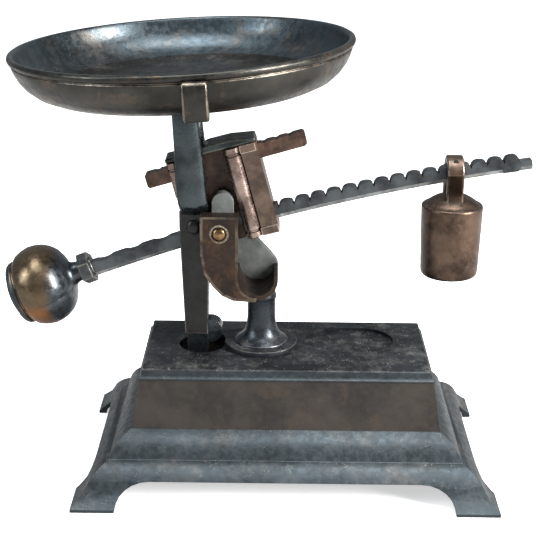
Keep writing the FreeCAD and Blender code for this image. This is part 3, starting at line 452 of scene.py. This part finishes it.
copper = cast_finish("domed_brass", (0.05, 0.028, 0.014), (0.20, 0.125, 0.06), (0.30, 0.19, 0.09),
                     (0.45, 0.33, 0.2), warm_share=0.6, rough=0.3, metallic=0.95, cloud=400.0)
crust = cast_finish("ring_crust", (0.03, 0.022, 0.015), (0.17, 0.14, 0.10), (0.09, 0.06, 0.035),
                    (0.4, 0.36, 0.28), warm_share=0.5, rough=0.8, metallic=0.0, cloud=700.0, relief=0.9)
low, high = span("fulcrum_pin")
across = pin_place("fulcrum_pin")
pin = turned([(0, 0), (0.4, 0.03), (0.75, 0.12), (0.98, 0.28), (1.08, 0.5), (1.08, high.y - low.y),
              (0, high.y - low.y)], steps=40)
settle("fulcrum_pin_domed", moved(pin, across), "base", "brass", [copper], "fulcrum_pin")
ring = turned([(1.25, 0.75), (1.25, 0.46), (1.34, 0.4), (1.46, 0.45), (1.54, 0.6), (1.54, 0.75),
               (1.25, 0.75)], steps=40)
uneven = 0.035
for index, corner in enumerate(ring.verts):
    corner.co.x *= 1 + uneven * math.sin(index * 2.4)
    corner.co.y *= 1 + uneven * math.sin(index * 1.7)
settle("fulcrum_ring", moved(ring, across), "base", "brass", [crust])

# ---- long bar ----------------------------------------------------------------------
# A bowed bar with half-round teeth that the poise hangs between, lower and waved on the
# ball's side, bevelled underneath. Cast in one piece with eyes for both pins.

tilt = math.radians(15.0)
fulcrum = middle("fulcrum_pin")
beam_place = Matrix.Translation((fulcrum.x, 0, fulcrum.z)) @ Matrix.Rotation(-tilt, 4, "Y")
bow = 350.0
crown = 12.0
half_bar = 1.1


def on_bow(along, level=0.0):
    """A place on the bowed bar, a distance from its crown and above its middle."""
    turn = along / bow
    return Matrix.Translation((crown + bow * math.sin(turn), 0, bow * math.cos(turn) - bow)) @ \
        Matrix.Rotation(turn, 4, "Y") @ Matrix.Translation((0, 0, level))


def gathered(blocks):
    """Separate blocks as one mesh."""
    whole = bmesh.new()
    for block in blocks:
        mesh = bpy.data.meshes.new("block")
        block.to_mesh(mesh)
        block.free()
        whole.from_mesh(mesh)
        bpy.data.meshes.remove(mesh)
    return whole


def swept_bar(start, stop, head, side_foot, under, sole, steps):
    """A length of the bowed bar: the heights of its top, its sides' feet and its narrow underside."""
    bm = bmesh.new()
    corners = [(-half_bar, head), (half_bar, head), (half_bar, side_foot), (sole, under), (-sole, under),
               (-half_bar, side_foot)]
    section = bm.faces.new([bm.verts.new((0, y, z)) for y, z in corners])
    bmesh.ops.transform(bm, matrix=on_bow(start), verts=bm.verts)
    bmesh.ops.spin(bm, geom=[section], cent=(crown, 0, -bow), axis=(0, 1, 0), dvec=(0, 0, 0),
                   angle=(stop - start) / bow, steps=steps, use_merge=False, use_duplicate=False)
    bmesh.ops.recalc_face_normals(bm, faces=bm.faces)
    return bm


def eye(radius, segments):
    """The round eye for a pin, as thick as the bar."""
    return disc_block(radius, -half_bar, half_bar, segments, along="Y")


pitch = 2.614
first = -2.13
tooth_count = 14
toothed = swept_bar(first - 2.2, 38.9, 0.25, -0.55, -1.25, 0.62, 30)
waved = swept_bar(-34.4, -crown, 0.65, -1.15, -1.8, 0.6, 16)
plain = swept_bar(-crown - 0.2, first, 1.2, -0.6, -1.25, 0.6, 8)
tooth = [(-0.3, 0.0), (-0.02, 0.3), (0.1, 0.62), (0.32, 0.98), (0.62, 1.2), (1.05, 1.3), (1.5, 1.28),
         (1.95, 1.18), (2.28, 1.02), (2.46, 0.85), (2.52, 0.6), (2.58, 0.3), (2.8, 0.0)]
teeth = [moved(prism(tooth, 2 * half_bar), on_bow(first + step * pitch)) for step in range(tooth_count)]
tip = prism([(-0.3, 0.0), (0.02, 0.35), (0.22, 0.85), (0.6, 1.2), (1.2, 1.32), (1.75, 1.28), (2.2, 1.05),
             (2.5, 0.65), (2.62, 0.1), (2.6, -0.6), (2.35, -1.1), (2.0, -1.25), (-0.3, -1.2)], 2 * half_bar)
bar = carve(toothed, gathered(teeth[0::2]), gathered(teeth[1::2]),
            moved(tip, on_bow(first + tooth_count * pitch)), waved, plain, eye(2.3, 40), operation="UNION")
dips = [moved(disc_block(3.4, -1.5, 1.5, 36, along="Y"), on_bow(-31.9 + step * 5.0, 3.75))
        for step in range(4)]
bar = carve(bar, gathered(dips))
load = middle("load_pin")
load_eye = Matrix.Translation((load.x, 0, load.z))
bar = carve(bar, moved(eye(1.75, 32), beam_place.inverted() @ load_eye), operation="UNION")
soften(bar, 0.1, angle=30)
# Downward-facing bevels under the bar get a much paler finish: a painted reflection of the pale floor below.
for face in bar.faces:
    if face.normal.z < -0.25 and abs(face.normal.y) > 0.4:
        face.material_index = 1
iron = cast_finish("iron_bar", (0.016, 0.018, 0.020), (0.070, 0.080, 0.086), (0.075, 0.06, 0.05),
                   (0.21, 0.19, 0.16), warm_share=0.3, rough=0.42, cloud=220.0)
underside_bounce_paint = cast_finish("underside_painted_bounce", (0.12, 0.125, 0.125), (0.30, 0.31, 0.31), (0.09, 0.075, 0.06),
                        (0.27, 0.27, 0.26), warm_share=0.5, rough=0.5, cloud=420.0, metallic=0.5)
settle("notched_bar", moved(bar, beam_place), "beam", "dark_patina", [iron, underside_bounce_paint], "main_bar")

# ---- short bar and frame -----------------------------------------------------------
# A short brown bar through a bronze frame, whose posts carry round rods. A thin plate
# closes the frame's right end, and a dark cap with a swelling lies over its top.

bronze = cast_finish("brown_bronze", (0.010, 0.006, 0.005), (0.038, 0.024, 0.018), (0.070, 0.040, 0.027),
                     (0.30, 0.23, 0.18), warm_share=0.5, rough=0.40, rub=0.75, cloud=190.0, metallic=0.7)
strip_bronze = cast_finish("strip_bronze", (0.05, 0.036, 0.029), (0.13, 0.092, 0.072),
                           (0.17, 0.10, 0.062), (0.38, 0.31, 0.26), warm_share=0.5, rough=0.38, rub=0.85,
                           cloud=210.0, metallic=0.75)
rosy = cast_finish("rosy_rod", (0.10, 0.072, 0.062), (0.27, 0.205, 0.18), (0.34, 0.25, 0.21),
                   (0.40, 0.33, 0.29), warm_share=0.5, rough=0.27, metallic=0.9, cloud=240.0, dusty=0.2)
russet = cast_finish("russet_bar", (0.028, 0.016, 0.012), (0.105, 0.062, 0.046), (0.15, 0.08, 0.055),
                     (0.32, 0.22, 0.17), warm_share=0.6, rough=0.46, rub=0.7, cloud=230.0, metallic=0.6)
verdigris = cast_finish("dark_cap", (0.010, 0.014, 0.014), (0.036, 0.048, 0.047), (0.05, 0.044, 0.036),
                        (0.15, 0.15, 0.13), warm_share=0.25, rough=0.45, cloud=230.0)
short_bar = prism([(-9.6, 9.05), (-9.3, 8.75), (16.5, 9.35), (16.9, 9.65), (16.9, 11.45), (16.55, 11.75),
                   (-9.3, 11.15), (-9.6, 10.85)], 2 * half_bar)
dip_level, dip_rise = 12.1, 0.023
dips = [disc_block(0.9, -1.5, 1.5, 20, (along, 0, dip_level + along * dip_rise), "Y")
        for along in (-7.4, 10.2, 12.3, 14.4)]
short_bar = carve(short_bar, gathered(dips))
soften(short_bar, 0.16, angle=32)
settle("short_bar", moved(short_bar, beam_place), "beam", "brown_bronze", [russet], "tare_bar")

frame_low, frame_high, frame_right = -3.0, 12.3, 6.3
frame_block = soften(copy_of("beam_frame"), 0.16)
for face in frame_block.faces:
    if (beam_place.inverted() @ face.calc_center_median()).x > frame_right + 0.1:
        face.material_index = 1
settle("bronze_frame", frame_block, "beam", "brown_bronze", [bronze, strip_bronze], "beam_frame")
settle("frame_plate", soften(copy_of("frame_end_plate"), 0.14), "beam", "brown_bronze", [strip_bronze],
       "frame_end_plate")
settle("frame_cap", soften(copy_of("frame_top_cap"), 0.3, segments=3, angle=12), "beam", "brown_bronze",
       [verdigris], "frame_top_cap")
steps = [prism([(frame_right, foot), (reach, foot), (reach, head), (frame_right, head)], depth)
         for reach, foot, head, depth in ((9.0, 10.9, frame_high, 5.5), (9.25, frame_low, -1.5, 5.7))]
settle("frame_steps", moved(soften(gathered(steps), 0.2), beam_place), "beam", "brown_bronze", [strip_bronze])
rod_depth = 1.85
for at, foot, side, wide in ((5.05, frame_low, "right", 1.28), (-4.5, 6.3, "left", 1.0)):
    for depth, face in ((-rod_depth, "front"), (rod_depth, "rear")):
        tall = frame_high - foot
        profile = [(0, 0), (0.85, 0), (1.08, 0.2), (1.08, 1.0), (0.9, 1.15), (0.9, 1.35), (1.08, 1.5),
                   (1.06, tall / 2), (1.08, tall - 1.5), (0.9, tall - 1.35), (0.9, tall - 1.15),
                   (1.08, tall - 1.0), (1.08, tall - 0.1), (0, tall - 0.1)]
        rod = turned([(wide * radius, height) for radius, height in profile], steps=32)
        settle(f"rod_{face}_{side}", moved(rod, beam_place @ Matrix.Translation((at, depth, foot))), "beam",
               "brown_bronze", [rosy], f"{face}_{side}_rod")

# ---- counterweight -----------------------------------------------------------------
# A turned ball with a flat slate end and a button, on a stud with a six-sided collar. It
# is rubbed to brass toward that end, orange underneath, and blue-black toward the bar.


def rubbed_ball():
    """The ball's finish: brassy toward its button, orange-brown below, blue-black at the bar."""
    made = cast_finish("rubbed_ball", (0.016, 0.019, 0.022), (0.070, 0.084, 0.098), (0.07, 0.06, 0.05),
                       (0.30, 0.22, 0.12), warm_share=0.3, rough=0.30, dusty=0.25, cloud=130.0, metallic=0.85)
    tree = made.node_tree
    shader = [item for item in tree.nodes if item.type == "BSDF_PRINCIPLED"][0]
    before = shader.inputs["Base Color"].links[0].from_socket
    where = add(tree, "ShaderNodeTexCoord").outputs["Object"]
    centre = on_ball.translation * mm
    local = add(tree, "ShaderNodeVectorMath", {0: where, 1: centre}, operation="SUBTRACT").outputs[0]
    parts = add(tree, "ShaderNodeSeparateXYZ", {0: local})
    patches = noise(tree, where, 170.0, 6.0, 0.65)
    lean = math_node(tree, "ADD", parts.outputs["X"], times(tree, patches, 0.0042))
    brassy = ranged(tree, lean, 0.0052, 0.0028)
    depth = math_node(tree, "ADD", parts.outputs["Z"], times(tree, patches, 0.004))
    lower = ranged(tree, depth, 0.0010, -0.0014)
    brass_tone = blend_colour(tree, ranged(tree, patches, 0.35, 0.7), (0.075, 0.050, 0.026, 1),
                              (0.15, 0.105, 0.058, 1))
    mixed = blend_colour(tree, times(tree, brassy, 0.85), before, brass_tone)
    mixed = blend_colour(tree, times(tree, times(tree, lower, brassy), 0.8), mixed, (0.20, 0.080, 0.027, 1))
    tree.links.new(mixed, shader.inputs["Base Color"])
    return made


ball_along, ball_drop = -43.35, -0.25
on_ball = beam_place @ on_bow(ball_along, ball_drop)
along_bar = on_ball @ Matrix.Rotation(math.pi / 2, 4, "Y")
profile = [(0, -4.5), (4.5, -4.5), (5.0, -4.35), (5.25, -4.0), (5.35, -3.5), (5.1, -3.3), (5.1, -3.1),
           (5.55, -2.95), (6.05, -2.4), (6.45, -1.4), (6.7, -0.1), (6.6, 1.0), (6.3, 2.1), (5.75, 3.1),
           (4.9, 4.0), (3.8, 4.65), (2.7, 5.0), (2.1, 5.3), (1.8, 5.8), (1.65, 6.5), (1.6, 7.3), (1.6, 9.2),
           (0, 9.2)]
ball = turned(profile, steps=72)
soften(ball, 0.14, angle=38)
seam_at, seam_lean = 1.6, 0.05
seam = bmesh.ops.bisect_plane(ball, geom=ball.verts[:] + ball.edges[:] + ball.faces[:], dist=0.0001,
                              plane_co=(seam_at, 0, 0), plane_no=(1, seam_lean, 0))
line = [item for item in seam["geom_cut"] if isinstance(item, bmesh.types.BMEdge)]
bmesh.ops.bevel(ball, geom=line, offset=0.07, offset_type="OFFSET", segments=2, profile=0.5, affect="EDGES",
                clamp_overlap=True, material=-1)
for corner in ball.verts:
    if abs(corner.co.x + seam_lean * corner.co.y - seam_at) < 0.02 and corner.co.z < 5:
        corner.co *= 0.985
end_band = -3.35
for face in ball.faces:
    if face.calc_center_median().z < end_band:
        face.material_index = 1
settle("ball_turned", moved(ball, along_bar), "beam", "dark_patina", [rubbed_ball(), slate],
       "counterweight_ball", "counterweight_stud", turn=50)
button = turned([(0, -5.1), (2.6, -5.1), (3.5, -4.98), (3.85, -4.7), (3.7, -4.2), (0, -4.2)], steps=56)
soften(button, 0.12, angle=20)
settle("ball_button", moved(button, along_bar), "beam", "dark_patina", [slate], "counterweight_button")
collar = soften(copy_of("counterweight_collar"), 0.35, segments=3)
settle("hex_collar", collar, "beam", "dark_patina", [iron], "counterweight_collar")

# ---- stem --------------------------------------------------------------------------
# A forked stem that hangs on the load pin: two flat plates below, near-black for painted shade,
# two rounded blue-grey legs above, a head under the pan, and a peg that the base's hole guides.

steel_blue = cast_finish("steel_blue", (0.014, 0.018, 0.020), (0.052, 0.064, 0.070), (0.05, 0.048, 0.045),
                         (0.22, 0.22, 0.21), warm_share=0.2, rough=0.25, cloud=120.0, metallic=0.92)
# The plates' near-black colour is painted shade, where they sit back under the legs' overhang.
plate_shade_black = cast_finish("plate_painted_shade", (0.004, 0.004, 0.004), (0.010, 0.010, 0.010), (0.022, 0.018, 0.015),
                   (0.12, 0.11, 0.10), warm_share=0.3, rough=0.40, cloud=150.0, metallic=0.4)


def lofted(sections):
    """A rounded bar through sections: each is a height, its left and right, its front and back."""
    bm = bmesh.new()
    fuller = 0.93
    rings = []
    for height, left, right, near, far in sections:
        made = bmesh.ops.create_circle(bm, cap_ends=False, segments=28, radius=1)["verts"]
        for corner in made:
            x = math.copysign(abs(corner.co.x) ** fuller, corner.co.x)
            y = math.copysign(abs(corner.co.y) ** fuller, corner.co.y)
            corner.co = ((left + right) / 2 + x * (right - left) / 2,
                         (near + far) / 2 + y * (far - near) / 2, height)
        rings.append(list({edge for corner in made for edge in corner.link_edges}))
    for pair in zip(rings, rings[1:]):
        bmesh.ops.bridge_loops(bm, edges=pair[0] + pair[1])
    bmesh.ops.holes_fill(bm, edges=bm.edges, sides=0)
    bmesh.ops.recalc_face_normals(bm, faces=bm.faces)
    return bm


leg_foot = 44.1
leg_sections = [(43.5, -17.3, -12.9, 1.5, 2.8), (leg_foot, -17.4, -12.75, 1.5, 3.4),
                (44.6, -17.45, -12.7, 1.6, 4.2), (45.2, -17.5, -12.7, 2.2, 4.7),
                (45.6, -17.55, -12.75, 2.85, 4.8), (46.0, -17.6, -12.85, 2.95, 4.85),
                (47.2, -17.76, -12.97, 2.95, 4.9), (49.5, -17.9, -13.15, 2.95, 4.95),
                (53.5, -17.98, -13.5, 2.95, 4.9), (58.5, -18.25, -14.1, 2.95, 4.8),
                (62.95, -18.4, -14.3, 2.95, 4.7)]
for side, way in (("front", -1), ("rear", 1)):
    flat = copy_of(f"stem_{side}_leg")
    bmesh.ops.bisect_plane(flat, geom=flat.verts[:] + flat.edges[:] + flat.faces[:], dist=0.0001,
                           plane_co=(0, 0, leg_foot), plane_no=(0, 0, 1), clear_outer=True)
    bmesh.ops.holes_fill(flat, edges=[edge for edge in flat.edges if edge.is_boundary], sides=0)
    settle(f"{side}_plate", soften(flat, 0.3, segments=3), "stem", "dark_patina", [plate_shade_black], f"stem_{side}_leg")
    upper = lofted([(height, left, right, way * near, way * far)
                    for height, left, right, near, far in leg_sections])
    settle(f"{side}_leg", upper, "stem", "dark_patina", [steel_blue])
peg = soften(copy_of("stem_foot"), 0.3, segments=3)
settle("stem_peg", peg, "stem", "dark_patina", [steel_blue], "stem_foot")
low, high = span("load_pin")
reach = high.y - low.y
end_round = [(0, 0), (0.55, 0.03), (0.95, 0.16), (1.17, 0.36), (1.25, 0.6), (0.85, 0.6)]
load_pin = turned(end_round + [(radius, reach - height) for radius, height in end_round[::-1]], steps=32)
# The load pin's head takes the same near-black painted shade as the plates.
settle("load_pin_domed", moved(load_pin, pin_place("load_pin")), "stem", "dark_patina", [plate_shade_black], "load_pin")
for node, finish in (("stem_head", steel_blue), ("keeper_pin", pale),
                     ("column_washer", pale), ("pan_rivet", steel_blue), ("poise_rider", steel_blue)):
    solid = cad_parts[node]
    solid.data.materials.clear()
    solid.data.materials.append(finish)

# ---- pan ---------------------------------------------------------------------------
# A round dished pan with a beaded rim, a groove under the bead and a lug down its
# front. Slate blue walls inside, a brown-black dusty floor, a browner outside.

lean = Matrix.Rotation(math.radians(-3.2), 4, "Y")
pan_floor_up = 2.05
pan_place = Matrix.Translation(middle("pan_rivet")) @ lean @ Matrix.Translation((0, 0, pan_floor_up))
profile = [(0, 0), (14, 0.0), (19.6, 0.05), (21.6, 0.4), (23.4, 1.2), (24.7, 2.3), (25.6, 3.5), (26.15, 4.6),
           (26.45, 5.4), (26.5, 5.68), (26.3, 5.88), (26.55, 6.05), (26.88, 6.25), (27.0, 6.6), (26.9, 6.95),
           (26.6, 7.15), (26.25, 7.15), (25.95, 6.9), (25.85, 6.4), (25.6, 5.5), (25.2, 4.5), (24.4, 3.3),
           (23.2, 2.25), (21.7, 1.5), (19.9, 1.05), (17.4, 0.92), (12, 0.9), (0, 0.9)]
pan = turned(profile, steps=128)
soften(pan, 0.08, angle=45)
floor_radius = 21.9
for face in pan.faces:
    centre = face.calc_center_median()
    if face.normal.z > 0.8 and centre.xy.length < floor_radius:
        face.material_index = 1
    if face.normal.dot((centre.x, centre.y, 0)) > 0 or face.normal.z < -0.5:
        face.material_index = 2
pan_wall = cast_finish("pan_slate", (0.020, 0.026, 0.030), (0.050, 0.066, 0.076), (0.10, 0.072, 0.05),
                       (0.22, 0.19, 0.16), warm_share=0.45, rough=0.36, cloud=55.0, dusty=0.35, metallic=0.85)
pan_floor = cast_finish("pan_floor", (0.004, 0.0035, 0.003), (0.013, 0.011, 0.010), (0.03, 0.021, 0.016),
                        (0.12, 0.11, 0.1), warm_share=0.5, rough=0.42, cloud=80.0, dusty=0.45, metallic=0.7)
pan_back = cast_finish("pan_outside", (0.018, 0.018, 0.016), (0.055, 0.053, 0.047), (0.125, 0.080, 0.048),
                       (0.24, 0.20, 0.16), warm_share=0.6, rough=0.36, cloud=60.0, dusty=0.2, metallic=0.85)
settle("pan_dished", moved(pan, pan_place), "stem", "dark_patina", [pan_wall, pan_floor, pan_back], "pan",
       turn=60)
path = [(-26.8, 6.2), (-27.5, 5.95), (-27.75, 5.2), (-27.7, 2.6), (-27.5, 1.4), (-27.0, 0.6), (-26.1, 0.25),
        (-25.0, 0.9), (-25.2, 3.0), (-26.3, 5.9)]
lug = bmesh.new()
lug_from, lug_wide = 1.7, 3.6
outline = lug.faces.new([lug.verts.new((lug_from, y, z)) for y, z in path])
pushed(lug, [outline], (lug_wide, 0, 0))
bmesh.ops.recalc_face_normals(lug, faces=lug.faces)
soften(lug, 0.3, segments=3, angle=40)
settle("pan_lug", moved(lug, pan_place), "stem", "dark_patina", [pan_back])

# ---- poise -------------------------------------------------------------------------
# A turned bronze weight with a domed shoulder, hung from a cast loop that goes over the
# long bar.

poise_bronze = cast_finish("poise_bronze", (0.024, 0.015, 0.011), (0.105, 0.070, 0.050),
                           (0.16, 0.10, 0.065), (0.30, 0.25, 0.21), warm_share=0.5, rough=0.36, rub=0.6,
                           cloud=140.0, metallic=0.85, dusty=0.6)
low, high = span("poise_weight")
weight_side = [(0, 0), (3.8, 0), (4.35, 0.12), (4.62, 0.5), (4.68, 1.0), (4.9, 8.5), (4.97, 11.5),
               (4.93, 11.8), (4.75, 11.97), (4.5, 12.0), (4.1, 12.35), (3.4, 12.85), (2.7, 13.25),
               (1.9, 13.5)]
weight = turned([(radius, low.z + rise) for radius, rise in weight_side]
                + [(1.2, high.z), (0, high.z)], steps=96)
soften(weight, 0.1, angle=40)
weight_place = Matrix.Translation((middle("poise_weight").x, 0, 0))
settle("weight_turned", moved(weight, weight_place), "poise", "brown_bronze", [poise_bronze],
       "poise_weight", turn=50)
low, high = span("poise_loop")
loop_place = Matrix.Translation((middle("poise_loop").x, 0, 0))
loop_reach, loop_inside, loop_half = 2.9, 1.7, 1.35
spring = high.z - loop_reach
loop_low = low.z + 0.3
loop = bmesh.new()
strap = loop.faces.new([loop.verts.new((x, y, loop_low))
                        for x, y in ((-loop_half, -loop_reach), (loop_half, -loop_reach),
                                     (loop_half, -loop_inside), (-loop_half, -loop_inside))])
top = pushed(loop, [strap], (0, 0, spring - loop_low))
made = bmesh.ops.spin(loop, geom=top, cent=(0, 0, spring), axis=(1, 0, 0), dvec=(0, 0, 0), angle=-math.pi,
                      steps=24, use_merge=False, use_duplicate=False)["geom_last"]
top = [item for item in made if isinstance(item, bmesh.types.BMFace)]
pushed(loop, top, (0, 0, loop_low - spring), inner=True)
bmesh.ops.recalc_face_normals(loop, faces=loop.faces)
soften(loop, 0.3, segments=3, angle=30)
settle("loop_cast", moved(loop, loop_place), "poise", "brown_bronze", [poise_bronze], "poise_loop")

# ---- floor, light and camera -------------------------------------------------------
# A pale sheet that the camera sees nearly white, though it lights the piece as a duller
# one. Three soft panels and a dim sky, and a long lens a little above the piece.

floor_mesh = bpy.data.meshes.new("floor")
sheet = bmesh.new()
bmesh.ops.create_grid(sheet, x_segments=1, y_segments=1, size=3)
sheet.to_mesh(floor_mesh)
sheet.free()
floor = bpy.data.objects.new("floor", floor_mesh)
floor.location = (0, 0, -0.0001)
bpy.context.scene.collection.objects.link(floor)
white = bpy.data.materials.new("pale_floor")
white.use_nodes = True
tree = white.node_tree
seen = tree.nodes["Principled BSDF"]
seen.inputs["Base Color"].default_value = (0.9, 0.9, 0.9, 1)
seen.inputs["Roughness"].default_value = 0.9
seen.inputs["Emission Color"].default_value = (1, 1, 1, 1)
seen.inputs["Emission Strength"].default_value = 0.55
around = add(tree, "ShaderNodeBsdfDiffuse", {"Color": (0.47, 0.455, 0.44, 1)})
shown = add(tree, "ShaderNodeMixShader", {0: add(tree, "ShaderNodeLightPath").outputs["Is Camera Ray"]})
tree.links.new(around.outputs[0], shown.inputs[1])
tree.links.new(seen.outputs[0], shown.inputs[2])
tree.links.new(shown.outputs[0], tree.nodes["Material Output"].inputs[0])
floor_mesh.materials.append(white)

world = bpy.data.worlds.new("studio")
world.use_nodes = True
world.node_tree.nodes["Background"].inputs[0].default_value = (0.86, 0.93, 1.0, 1)
world.node_tree.nodes["Background"].inputs[1].default_value = 0.32
bpy.context.scene.world = world


def lamp(name, at, width, height, power, colour):
    """A soft light panel that looks at the middle of the scale."""
    light = bpy.data.lights.new(name, "AREA")
    light.shape = "RECTANGLE"
    light.size = width
    light.size_y = height
    light.energy = power
    light.color = colour
    obj = bpy.data.objects.new(name, light)
    obj.location = at
    obj.rotation_euler = (Vector((0, 0, 0.035)) - Vector(at)).to_track_quat("-Z", "Y").to_euler()
    bpy.context.scene.collection.objects.link(obj)


lamp("window", (0.42, -0.24, 0.26), 0.14, 0.28, 9.0, (1.0, 0.98, 0.96))
lamp("side_window", (-0.42, -0.20, 0.26), 0.10, 0.26, 1.8, (0.90, 0.96, 1.0))
lamp("ceiling", (-0.02, -0.12, 0.58), 0.50, 0.30, 5.0, (0.95, 0.98, 1.0))

view = bpy.data.cameras.new("camera")
view.sensor_width = 36
view.lens = 86.43
view.clip_start = 0.01
camera_at = (-0.001878, -0.201254, 0.104243)
camera_turn, camera_down, camera_roll = (math.radians(angle) for angle in (0.274, 19.41, 0.532))
camera = bpy.data.objects.new("camera", view)
camera.matrix_world = Matrix.Translation(camera_at) @ Matrix.Rotation(camera_turn, 4, "Z") @ \
    Matrix.Rotation(math.pi / 2 - camera_down, 4, "X") @ Matrix.Rotation(camera_roll, 4, "Z")
bpy.context.scene.collection.objects.link(camera)
bpy.context.scene.camera = camera
bpy.context.scene.view_settings.view_transform = "Standard"
